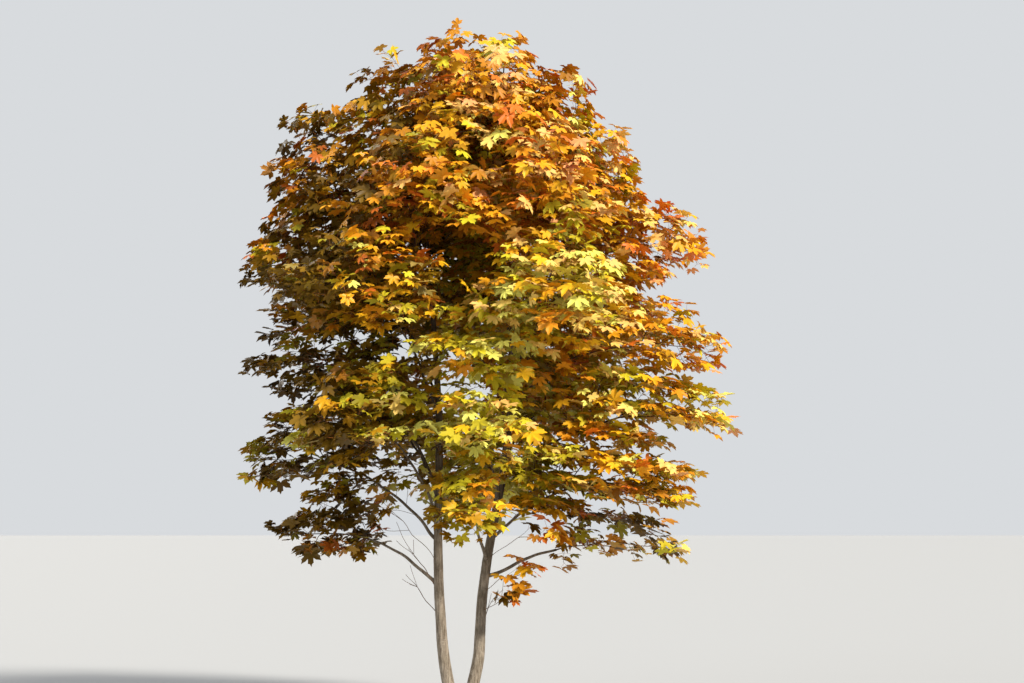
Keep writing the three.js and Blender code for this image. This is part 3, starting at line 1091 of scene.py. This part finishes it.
def bark_material(colours, name, grain):
    """Grey-brown bark: long furrows, broad patches, pale flecks, and grain in its bump. It is pale at the
    foot and darkened up in the crown by painted shade, where the crown's shadow falls on the stems and
    boughs."""
    material, tree, shader = material_named(name, roughness=0.88, specular=0.25)
    place = tree.nodes.new("ShaderNodeTexCoord").outputs["Object"]
    long = add_node(tree, "ShaderNodeMapping", Vector=place, Scale=(grain, grain, grain * STREAK_SCALE))

    def texture(vector, **inputs):
        return add_node(tree, "ShaderNodeTexNoise", Vector=vector, **inputs).outputs["Fac"]

    streaks = texture(long.outputs["Vector"], Scale=1.0, Detail=6.0, Roughness=0.62, Distortion=0.4)
    patches = texture(place, Scale=grain * PATCH_SCALE, Detail=4.0, Roughness=0.55)
    flecks = texture(place, Scale=grain * FLECK_SCALE, Detail=5.0, Roughness=0.7)
    colour = ramp_between(tree, streaks, colours.bark_deep, colours.bark, stops=(0.36, 0.62))
    fleck_share = ramp_between(tree, flecks, BLACK, WHITE, stops=(0.55, 0.75))
    colour = mixed(tree, "MIX", fleck_share, colour, (*colours.bark_pale, 1))
    shade = ramp_between(tree, patches, PATCH_SHADE, WHITE, stops=(0.38, 0.62))
    colour = mixed(tree, "MULTIPLY", PATCH_SHARE, colour, shade)
    # Painted shade: the bark darkens with height up into the crown, where the crown's shadow falls on it
    height = add_node(tree, "ShaderNodeSeparateXYZ", Vector=place).outputs["Z"]
    low, high = CROWN_SHADE_START, CROWN_SHADE_FULL
    crown_shade = add_node(tree, "ShaderNodeMapRange", Value=height, From_Min=low, From_Max=high).outputs["Result"]
    colour = mixed(tree, "MULTIPLY", 1.0, colour, ramp_between(tree, crown_shade, WHITE, CROWN_SHADE_ON_BARK))
    bump = add_node(tree, "ShaderNodeBump", Height=streaks, Strength=0.55, Distance=0.002)
    set_inputs(tree, shader, Base_Color=colour, Normal=bump.outputs["Normal"])
    return material


def tint_of(colour, brightness, strength, turn):
    """A colour made lighter or deeper, paler or stronger, and turned a little in hue: a copy of it with
    painted sunlight or painted shade.
    """
    tint = Color(colour)
    tint.h += turn
    tint.s *= strength
    tint.v = min(tint.v * brightness, BRIGHTEST)
    return tuple(tint)


# Stems and root crown


def bark_noise(spot, size, shift=0.0, bend=0.0):
    """Soft noise at a spot, of a size round and along the limb."""
    across, along = size
    return noise.noise(Vector((spot[0] / across + bend, spot[1] / across - bend, spot[2] / along + shift)))


def bark_height(spot, depth):
    """How far the bark stands out at a spot: broad swellings, and furrows that run along the limb."""
    swell = bark_noise(spot, SWELLS)
    bend = bark_noise(spot, FURROW_BENDS, shift=9) * SMALL_SHARE
    furrow = bark_noise(spot, FURROWS, bend=bend)
    fine = bark_noise(spot, FINE_BARK, shift=5)
    crack = max(0.0, 1 - abs(furrow) / FURROW_WIDTH)
    return SWELL_DEPTH * swell * (depth / FURROW_DEPTH) + depth * (SMALL_SHARE * fine - crack * crack)


def bark_relief(depth):
    """Relief for a limb's tube, read in the limb's own round section and height."""

    def relief(points, ring, radii):
        heights = np.empty(ring.shape[:2])
        for i, (point, radius) in enumerate(zip(points, radii)):
            share = min(1.0, radius / FULL_BARK_RADIUS)
            for j, way in enumerate(ring[i]):
                spot = way * radius
                heights[i, j] = bark_height((spot[0] + BARK_SHIFT, spot[1], point[2]), depth * share)
        return heights

    return relief


def flare(height):
    """How much a stem's foot widens at a height above the ground."""
    spread = math.exp(-max(height, 0) / FLARE_HEIGHT) - math.exp(-FLARE_TOP / FLARE_HEIGHT)
    return max(0.0, spread)


def root_lobes(points, ring, radii):
    """The flare and lobes of a stem's foot, and how it sinks into the stem at its top."""
    extra = np.zeros(ring.shape[:2])
    for i, point in enumerate(points):
        grow = flare(point[2])
        lobes = 1 + ROOT_LOBE_DEPTH * grow * np.cos(ROOT_LOBES * np.arctan2(ring[i, :, 1], ring[i, :, 0]))
        sunk = 1 + FOOT_SINKING * smooth_share(point[2], FOOT_TOP - FOOT_BLEND, FOOT_TOP)
        extra[i] = (radii[i] + FLARE_WIDTH * grow) * lobes - radii[i] * sunk
    return extra


def foot_tube(points, radii):
    """One stem's foot, from below the ground to where it has sunk into the stem."""
    low = points[:, 2] < FOOT_TOP
    points = np.concatenate(((points[0] - UP * FOOT_BELOW,), points[low]))
    radii = np.concatenate((radii[:1], radii[low]))
    return tube(points, ways_along(points), radii, FOOT_SIDES, root_lobes)


def root_piece(depth):
    """The root crown: both feet as one skin, cut flat at the ground, with the bark's relief."""
    piece = mesh_of("root_crown_bark", *joined([foot_tube(*route) for route in stems().values()]))
    pick(piece)
    piece.data.remesh_voxel_size = FOOT_VOXEL
    bpy.ops.object.voxel_remesh()
    modifier = piece.modifiers.new("smooth", "SMOOTH")
    modifier.iterations = FOOT_SMOOTHING
    bpy.ops.object.modifier_apply(modifier=modifier.name)
    bpy.ops.object.mode_set(mode="EDIT")
    bpy.ops.mesh.select_all(action="SELECT")
    bpy.ops.mesh.bisect(plane_co=(0, 0, 0), plane_no=(0, 0, 1), clear_inner=True, use_fill=True)
    bpy.ops.object.mode_set(mode="OBJECT")
    places = vertex_values(piece.data, "co").astype(float)
    normals = vertex_values(piece.data, "normal")
    # Each corner's place beside the stem that it is nearest to
    beside = np.array([
        places[:, :2] - read_at(places[:, 2], points[:, 2], points[:, :2]) for points, _ in stems().values()
    ])
    nearest = np.linalg.norm(beside, axis=2).argmin(axis=0)
    for i in np.flatnonzero(places[:, 2] > GROUND_EDGE):
        across, ahead = beside[nearest[i], i]
        places[i] += normals[i] * bark_height((across + BARK_SHIFT, ahead, places[i, 2]), depth) * LEVEL
    places[:, 2] = np.maximum(places[:, 2], 0)
    piece.data.vertices.foreach_set("co", places.astype(np.float32).ravel())
    piece.data.update()
    bpy.ops.object.shade_smooth()
    return piece


def collared(points, radii):
    """A limb's radii with the collar that it stands in on its stem."""
    return radii * (1 + COLLAR_GROWTH * np.exp(-runs(points) / COLLAR_LENGTH))


class MAPLE_OT_stems(bpy.types.Operator):
    """Grow both stems, the outer limb and the root crown, with the bark's relief"""

    bl_idname = "maple.stems"
    bl_label = "Stems and root crown"
    bl_options = {"REGISTER", "UNDO"}

    def execute(self, context):
        sizes, colours = context.scene.maple_sizes, context.scene.maple_colours
        bark = bark_material(colours, "stem_bark", STEM_GRAIN)
        finish_piece(root_piece(sizes.furrow_depth), bark, ["root_crown"])
        relief = bark_relief(sizes.furrow_depth)
        parts = []
        for points, radii in stems().values():
            # Each stem comes out of its foot little by little, so no ring shows where they meet
            start = int(np.searchsorted(points[:, 2], FOOT_TOP - 2 * FOOT_BLEND))
            risen = smooth_share(points[:, 2], FOOT_TOP - 2 * FOOT_BLEND, FOOT_TOP - FOOT_BLEND)
            radii = radii * (1 - FOOT_SINKING * (1 - risen))
            low = int(np.searchsorted(points[:, 2], LOW_STEM_TOP))
            parts.append(stretch(points[start:low + 1], radii[start:low + 1], LOW_STEM_RINGS, relief))
            parts.append(stretch(points[low:], radii[low:], HIGH_STEM_RINGS, relief))
        points, radii = limbs()[LIMB]
        parts.append(stretch(points, collared(points, radii), LIMB_RINGS, relief))
        finish_piece(mesh_of("stems_bark", *joined(parts)), bark, [*STEM_FEET, LIMB])
        return {"FINISHED"}


# Boughs and twigs


class MAPLE_OT_boughs(bpy.types.Operator):
    """Grow the main boughs, with the bark's relief"""

    bl_idname = "maple.boughs"
    bl_label = "Boughs"
    bl_options = {"REGISTER", "UNDO"}

    def execute(self, context):
        sizes, colours = context.scene.maple_sizes, context.scene.maple_colours
        relief = bark_relief(sizes.furrow_depth / 2)
        parts = []
        for name in BOUGHS:
            points, radii = limbs()[name]
            parts.append(tube(points, ways_along(points), collared(points, radii), BOUGH_SIDES, relief))
        bark = bark_material(colours, "bough_bark", BOUGH_GRAIN)
        finish_piece(mesh_of("boughs_bark", *joined(parts)), bark, BOUGHS)
        return {"FINISHED"}


class MAPLE_OT_twigs(bpy.types.Operator):
    """Grow the leaders and twigs inside the foliage"""

    bl_idname = "maple.twigs"
    bl_label = "Twigs"
    bl_options = {"REGISTER", "UNDO"}

    def execute(self, context):
        sizes, colours = context.scene.maple_sizes, context.scene.maple_colours
        wood = grown(sizes.seed, sizes.shoots)
        parts = []
        for shoot in wood.shoots:
            if shoot["radii"] is not None:
                continue
            most = wood.radii_of(wood.shoots[shoot["parent"]], sizes.twig_radius)[shoot["place"]]
            radii = np.minimum(wood.radii_of(shoot, sizes.twig_radius), most)
            sides = next(sides for least, sides in TWIG_SIDES if radii[0] > least)
            parts.append(tube(shoot["points"], shoot["ways"], radii, sides))
        bark = plain_material("twig_bark", colours.twig, roughness=0.75, specular=0.3)
        finish_piece(mesh_of("twigs", *joined(parts)), bark)
        return {"FINISHED"}


# Leaves


def leaf_pattern():
    """One leaf, as the places of its corners and its triangles: modelled from a filled circle, whose rim
    is drawn to the leaf's outline round the end of its stalk."""
    fresh()
    bpy.ops.mesh.primitive_circle_add(vertices=2 * len(LEAF_OUTLINE) + 2, radius=1, fill_type="TRIFAN")
    leaf = bpy.context.object
    mesh = leaf.data
    outline = [(-angle, reach) for angle, reach in reversed(LEAF_OUTLINE)] + [(0.0, 1.0), *LEAF_OUTLINE]
    rim = [vertex for vertex in mesh.vertices if vertex.co.length > TINY]
    angles = {vertex.index: math.atan2(vertex.co.x, vertex.co.y) for vertex in rim}
    ordered = sorted(angles, key=angles.get)
    # The rim corner that faces the stalk is left over, and goes
    spare = max(ordered, key=lambda index: abs(angles[index]))
    ordered.remove(spare)
    for index, (angle, reach) in zip(ordered, outline):
        turn = math.radians(angle)
        mesh.vertices[index].co = (reach * math.sin(turn), reach * math.cos(turn), 0)
    bpy.ops.object.mode_set(mode="EDIT")
    bpy.ops.mesh.select_mode(type="VERT")
    bpy.ops.mesh.select_all(action="DESELECT")
    bpy.ops.object.mode_set(mode="OBJECT")
    mesh.vertices[spare].select = True
    bpy.ops.object.mode_set(mode="EDIT")
    bpy.ops.mesh.delete(type="VERT")
    bpy.ops.mesh.select_all(action="SELECT")
    bpy.ops.mesh.normals_make_consistent(inside=False)
    bpy.ops.object.mode_set(mode="OBJECT")
    corners = np.array([vertex.co for vertex in mesh.vertices])
    faces = np.array([polygon.vertices for polygon in mesh.polygons])
    a, b, c = (corners[faces[:, i]] for i in range(3))
    turned = np.cross(b - a, c - a)[:, 2] < 0
    faces[turned] = faces[turned][:, ::-1]
    bpy.data.objects.remove(leaf)
    return corners, faces


def crown_shares(place):
    """How far a place is in each part of the crown, from 0 to 1. The rim's share runs from -0.5 at the
    crown's axis to 0.5."""
    shares = {
        part: smooth_share(place[axis], begin, whole) for part, (axis, begin, whole) in CROWN_PARTS.items()
    }
    lower = 1 - shares["high"]
    away = np.linalg.norm((place - CROWN_AXIS)[:2])
    rim = RIM_RADIUS + RIM_GROWTH * math.sqrt(max(0.0, 1 - ((place[2] - RIM_MIDDLE) / RIM_HALF) ** 2))
    return shares | {
        "whole": 1.0,
        "inner": away < INNER_RADIUS,
        "rim": away / rim - 0.5,
        "low_core": (away < CORE_RADIUS) * lower,
        "low_front": shares["front"] * lower,
        "low_right": shares["right"] * shares["lowest"],
        "high_shaded": shares["shaded"] * shares["high"],
    }


def summed(parts, shares):
    """What the parts of the crown add up to at a place."""
    return sum(amount * shares[part] for part, amount in parts.items())


def spray_tint(shoot, rng):
    """The kind and tint that a spray is dealt, by where it grows and by chance."""
    place = shoot["points"][-1]
    shares = crown_shares(place)
    patch = noise.noise(Vector(place * PATCHES_PER_METRE))
    # Painted sunlight and shade: the tint deepens where shade falls in the crown and lightens where sun
    # falls, with uneven patches and chance added
    depth = summed(PAINTED_SUN_AND_SHADE, shares) + patch + rng.normal(0, DEPTH_SPREAD)
    tint = int(np.clip(round(depth), 0, len(TINTS) - 1))
    # Olive leaves, dealt most on the shaded side, are partly their own colour and partly painted shade
    if rng.random() < summed(OLIVE_AND_PAINTED_SHADE, shares):
        return OLIVE, tint
    warmth = summed(WARM_PARTS, shares)
    if shoot["mass"] in HOME_WARMTHS:
        warmth += HOME_SHARE * (HOME_WARMTHS[shoot["mass"]] - warmth)
    warmth += LOW_HALF_WARMTH * shares["right_half"] * shares["lower_half"]
    warmth += PATCH_WARMTH * patch + rng.normal(0, WARMTH_SPREAD)
    return sum(warmth >= step for step in KIND_STEPS), tint


def leaf_kind(kind, pair, rng):
    """The kind of one leaf. Leaves at a spray's tip turn first, and those behind it are the greenest."""
    if kind == OLIVE or rng.random() >= OTHER_KIND:
        return kind
    if pair == 0:
        step = 1
    elif pair > 1:
        step = -1
    else:
        step = rng.choice((-1, 1))
    return int(np.clip(kind + step, 0, OLIVE - 1))


def spray(shoot, stalk_length, rng):
    """The leaves of a shoot: each one's stalk from start to end, way ahead, way up, kind and tint."""
    points, ways = shoot["points"], shoot["ways"]
    back = runs(points)[-1] - runs(points)
    kind, tint = spray_tint(shoot, rng)
    first_turn = rng.uniform(0, math.pi)
    leaves = []
    for pair in range(shoot["pairs"]):
        distance = pair * PAIR_GAP
        if distance > min(LEAFY_LENGTH, back[0] * LEAFY_SHARE):
            break
        start = read_at(-distance, -back, points)
        way = unit(read_at(-distance, -back, ways))
        side = unit(np.cross(way, UP) + NUDGE)
        over = np.cross(side, way)
        turn = first_turn + (math.pi / 2 if pair % 2 else 0)
        forward = STALK_AHEAD if pair else TIP_STALK_AHEAD
        for sign in (-1, 1):
            if rng.random() < LEAF_MISSING:
                continue
            lateral = side * math.cos(turn) * sign + over * math.sin(turn) * sign * STALK_OVER
            lateral = unit(lateral + side * sign * STALK_ASIDE)
            stalk = unit(lateral + way * forward + UP * STALK_RISE + rng.normal(0, STALK_SPREAD, 3))
            share = rng.uniform(*STALK_LENGTHS) * (TIP_STALK_LENGTH + STALK_GROWTH * pair)
            end = start + stalk * stalk_length * share
            out = outward(end)
            level = unit(stalk * LEVEL + out * LEAF_OUTWARD + rng.normal(0, LEAF_TURN_SPREAD, 3) * LEVEL)
            hang = math.radians(rng.normal(*LEAF_HANG) + fade(end[2], HANG_RISE, 0, HIGH_LEAF_HANG))
            ahead = unit(level * math.cos(hang) - UP * math.sin(hang))
            up = unit(UP + out * LEAF_LEAN + rng.normal(0, LEAF_LEAN_SPREAD, 3))
            own_kind = leaf_kind(kind, pair, rng)
            own_tint = int(np.clip(tint + rng.choice(TINT_STEPS), 0, len(TINTS) - 1))
            leaves.append((start, end, ahead, up, own_kind, own_tint))
    return leaves


@functools.cache
def foliage(seed, density, stalk_length, leaf_width):
    """Every leaf of the crown: where its stalk starts and ends, its three axes, width, bends and tint."""
    rng = np.random.default_rng((seed, *LEAF_DRAWS))
    leaves = []
    for shoot in grown(seed, density).shoots:
        if shoot["leafy"]:
            leaves += spray(shoot, stalk_length, rng)
    start, end, ahead, up, kind, tint = (np.array(column) for column in zip(*leaves))
    across = unit(np.cross(ahead, up))
    count = len(leaves)
    return {
        "start": start,
        "end": end,
        "across": across,
        "ahead": ahead,
        "over": np.cross(across, ahead),
        "width": leaf_width * np.clip(rng.normal(1.0, WIDTH_SPREAD, count), *WIDTH_LIMITS),
        "fold": rng.uniform(*FOLDS, count),
        "droop": rng.uniform(*DROOPS, count),
        "curl": rng.normal(0.0, CURL_SPREAD, count),
        "kind": kind,
        "tint": tint,
    }


def leaf_mesh(pattern, leaves, picked):
    """The joined corners and triangles of some leaves, each bent in its own way."""
    corners, faces = pattern
    aside, forward = corners[:, 0], corners[:, 1]
    reach = np.hypot(aside, forward)
    angle = np.degrees(np.arctan2(aside, forward))
    off = np.min(np.abs(angle[:, None] - np.array(LEAF_LOBES)), axis=1)
    raised = reach * np.sin(np.radians(off))
    width, fold, droop, curl, end, across, ahead, over = (
        leaves[key][picked][:, None]
        for key in ("width", "fold", "droop", "curl", "end", "across", "ahead", "over")
    )
    height = fold * raised * FOLD_RISE - droop * reach ** 2 + curl * aside ** 2
    bent = aside[:, None] * across + forward[:, None] * ahead + height[:, :, None] * over
    places = end + (width / LEAF_WIDTH_UNITS)[:, :, None] * bent
    index = faces + (np.arange(len(picked)) * len(corners))[:, None, None]
    return places.reshape(-1, 3), index.reshape(-1, 3)


def all_leaves(sizes):
    """The crown's leaves at the sizes that are set."""
    return foliage(sizes.seed, sizes.shoots, sizes.stalk_length, sizes.leaf_width)


class MAPLE_OT_leaves(bpy.types.Operator):
    """Grow the leaves, joined into one piece for each tint"""

    bl_idname = "maple.leaves"
    bl_label = "Leaves"
    bl_options = {"REGISTER", "UNDO"}

    def execute(self, context):
        sizes, colours = context.scene.maple_sizes, context.scene.maple_colours
        leaves = all_leaves(sizes)
        pattern = leaf_pattern()
        for number, kind in enumerate(KINDS):
            standing_for = ["foliage_" + mass for mass in LEAF_MASSES[kind]]
            for depth, tint in enumerate(TINTS):
                picked = np.flatnonzero((leaves["kind"] == number) & (leaves["tint"] == depth))
                if not len(picked):
                    continue
                name = f"leaves_{kind}_{depth + 1}"
                piece = mesh_of(name, *leaf_mesh(pattern, leaves, picked))
                # Each tint is the kind's colour with painted sunlight or painted shade; the palest stands for
                # a painted highlight
                colour = tint_of(getattr(colours, kind), *tint)
                blade = plain_material(name, colour, roughness=0.5, specular=0.3)
                finish_piece(piece, blade, standing_for)
                standing_for = []
            if standing_for:
                raise RuntimeError(f"no {kind} leaves grew, so nothing stands for their foliage")
        return {"FINISHED"}


class MAPLE_OT_stalks(bpy.types.Operator):
    """Grow the leaf stalks, joined into one piece"""

    bl_idname = "maple.stalks"
    bl_label = "Leaf stalks"
    bl_options = {"REGISTER", "UNDO"}

    def execute(self, context):
        sizes, colours = context.scene.maple_sizes, context.scene.maple_colours
        leaves = all_leaves(sizes)
        start, end = leaves["start"], leaves["end"]
        way = unit(end - start)
        side = unit(np.cross(way, UP) + TINY)
        over = np.cross(way, side)
        rings = []
        for place, share in ((start, 1), (end + way * STALK_SINK, STALK_NARROWING)):
            for angle in (0, 2 * math.pi / 3, 4 * math.pi / 3):
                rim = math.cos(angle) * side + math.sin(angle) * over
                rings.append(place + sizes.stalk_radius * share * rim)
        vertices = np.stack(rings, axis=1).reshape(-1, 3)
        prism = [(0, 1, 4), (0, 4, 3), (1, 2, 5), (1, 5, 4), (2, 0, 3), (2, 3, 5), (0, 2, 1), (3, 4, 5)]
        faces = (np.array(prism) + (np.arange(len(start)) * len(rings))[:, None, None]).reshape(-1, 3)
        stalk = plain_material("leaf_stalk", colours.stalk, roughness=0.6, specular=0.3)
        finish_piece(mesh_of("leaf_stalks", vertices, faces), stalk)
        return {"FINISHED"}


# Stage


class MAPLE_OT_stage(bpy.types.Operator):
    """Set up the floor, the soft light and the camera"""

    bl_idname = "maple.stage"
    bl_label = "Studio"
    bl_options = {"REGISTER", "UNDO"}

    def execute(self, context):
        stage = context.scene.maple_stage
        fresh()
        bpy.ops.mesh.primitive_plane_add(size=FLOOR_SIZE, location=(0, 0, 0))
        floor = context.object
        floor.name = "floor"
        floor.data.materials.append(plain_material("floor", stage.floor, roughness=0.95, specular=0.1))
        for name, (softness, place, colour) in LAMPS.items():
            self.lamp(name, getattr(stage, name + "_light"), math.radians(softness), place, colour)
        context.scene.world = self.surround(stage)
        camera = bpy.data.objects.new("camera", bpy.data.cameras.new("camera"))
        camera.data.lens = LENS
        camera.data.sensor_width = SENSOR
        camera.data.clip_end = SIGHT
        camera.location = EYE
        camera.rotation_euler = (math.radians(90 + PITCH), 0, 0)
        context.scene.collection.objects.link(camera)
        context.scene.camera = camera
        context.scene.view_settings.view_transform = "Standard"
        return {"FINISHED"}

    @staticmethod
    def lamp(name, strength, softness, place, colour):
        """A soft sunlike light that shines from a place towards the middle of the crown."""
        light = bpy.data.lights.new(name, "SUN")
        light.energy, light.angle, light.color = strength, softness, colour
        lamp = bpy.data.objects.new(name, light)
        lamp.location = place
        lamp.rotation_euler = (Vector(LAMP_TARGET) - Vector(place)).to_track_quat("-Z", "Y").to_euler()
        bpy.context.scene.collection.objects.link(lamp)

    @staticmethod
    def surround(stage):
        """A world that lights softly from all round, and shows as a plain backdrop."""
        world = bpy.data.worlds.new("surround")
        world.use_nodes = True
        tree = world.node_tree
        light = set_inputs(tree, tree.nodes["Background"], Color=SURROUND_COLOUR, Strength=stage.surround)
        shown = add_node(tree, "ShaderNodeBackground", Color=(*stage.backdrop, 1))
        path = tree.nodes.new("ShaderNodeLightPath")
        mix = add_node(tree, "ShaderNodeMixShader", Fac=path.outputs["Is Camera Ray"])
        tree.links.new(light.outputs["Background"], mix.inputs[1])
        tree.links.new(shown.outputs["Background"], mix.inputs[2])
        set_inputs(tree, tree.nodes["World Output"], Surface=mix.outputs["Shader"])
        return world


# Panel


OPERATORS = (
    MAPLE_OT_stems, MAPLE_OT_boughs, MAPLE_OT_twigs, MAPLE_OT_leaves, MAPLE_OT_stalks, MAPLE_OT_stage,
)
GROUPS = {"maple_sizes": MapleSizes, "maple_colours": MapleColours, "maple_stage": MapleStage}


class MAPLE_PT_panel(bpy.types.Panel):
    """Lists the tree's settings and the steps that grow it"""

    bl_label = "Autumn maple"
    bl_idname = "MAPLE_PT_panel"
    bl_space_type = "VIEW_3D"
    bl_region_type = "UI"
    bl_category = "Maple"

    def draw(self, context):
        for operator in OPERATORS:
            self.layout.operator(operator.bl_idname)
        for name, group in GROUPS.items():
            box = self.layout.box()
            box.label(text=group.__doc__)
            for key in group.__annotations__:
                box.prop(getattr(context.scene, name), key)


CLASSES = (*GROUPS.values(), *OPERATORS, MAPLE_PT_panel)


def register():
    for each in CLASSES:
        bpy.utils.register_class(each)
    for name, group in GROUPS.items():
        setattr(bpy.types.Scene, name, PointerProperty(type=group))


def unregister():
    for name in GROUPS:
        delattr(bpy.types.Scene, name)
    for each in reversed(CLASSES):
        bpy.utils.unregister_class(each)


def main():
    register()
    bpy.ops.maple.stems()
    bpy.ops.maple.boughs()
    bpy.ops.maple.twigs()
    bpy.ops.maple.leaves()
    bpy.ops.maple.stalks()
    bpy.ops.maple.stage()


if __name__ == "__main__":
    main()
